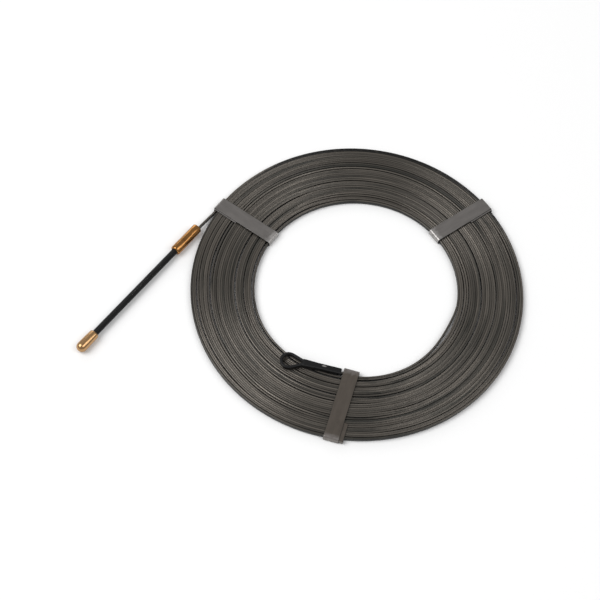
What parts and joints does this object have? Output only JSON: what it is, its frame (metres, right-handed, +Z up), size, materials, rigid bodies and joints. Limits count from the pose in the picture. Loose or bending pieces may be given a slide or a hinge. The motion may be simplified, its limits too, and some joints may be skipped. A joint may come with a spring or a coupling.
{
  "type": "fish tape reel",
  "caption": "Flat steel fish tape wound in a flat coil, bound by folded sheet straps, with a sprung brass-tipped leader and a sleeved pulling eye.",
  "frame": {"origin": "on the coil's axis, at the surface that the straps lie on", "axes": "+Z up along the coil's axis, +Y away from the picture's camera, +X to the picture's right"},
  "size_m": [0.329, 0.2538, 0.0098],
  "materials": {
    "tape_steel": "dark, oiled, sheared edges",
    "strap_steel": "satin grey sheet",
    "ferrule_brass": "turned and crimped",
    "tip_brass": "turned",
    "spring_steel": "black",
    "black_sleeve": "black sleeving"
  },
  "bodies": {
    "coil": {"tape_coil": "tape_steel", "tape_lead": "tape_steel", "tape_eye": "tape_steel", "eye_loop_sleeve": "black_sleeve", "eye_shank_sleeve": "black_sleeve"},
    "leader": {"ferrule": "ferrule_brass", "leader_spring": "spring_steel"},
    "leader_tip": {"tip": "tip_brass"},
    "left_strap": {"strap_left": "strap_steel"},
    "right_strap": {"strap_right": "strap_steel"},
    "front_strap": {"strap_front": "strap_steel"}
  },
  "joints": [
    {"name": "lead_bend", "type": "hinge", "parent": "coil", "child": "leader", "pos_m": [-0.11701, 0.05161, 0.0042], "axis": [0, 0, 1], "range_deg": [-20, 8], "stiffness_Nm_per_rad": 3, "deforming": ["tape_lead"]},
    {"name": "leader_flex", "type": "hinge", "parent": "leader", "child": "leader_tip", "pos_m": [-0.16501, -0.01494, 0.0042], "axis": [0, 0, 1], "range_deg": [-60, 60], "stiffness_Nm_per_rad": 0.06, "deforming": ["leader_spring"]},
    {"name": "left_strap_slide", "type": "hinge", "parent": "coil", "child": "left_strap", "pos_m": [0, 0, 0.0023], "axis": [0, 0, 1], "range_deg": [-45, 0]},
    {"name": "right_strap_slide", "type": "hinge", "parent": "coil", "child": "right_strap", "pos_m": [0, 0, 0.0023], "axis": [0, 0, 1], "range_deg": [-45, 45]},
    {"name": "front_strap_slide", "type": "hinge", "parent": "coil", "child": "front_strap", "pos_m": [0, 0, 0.0023], "axis": [0, 0, 1], "range_deg": [0, 50]}
  ]
}
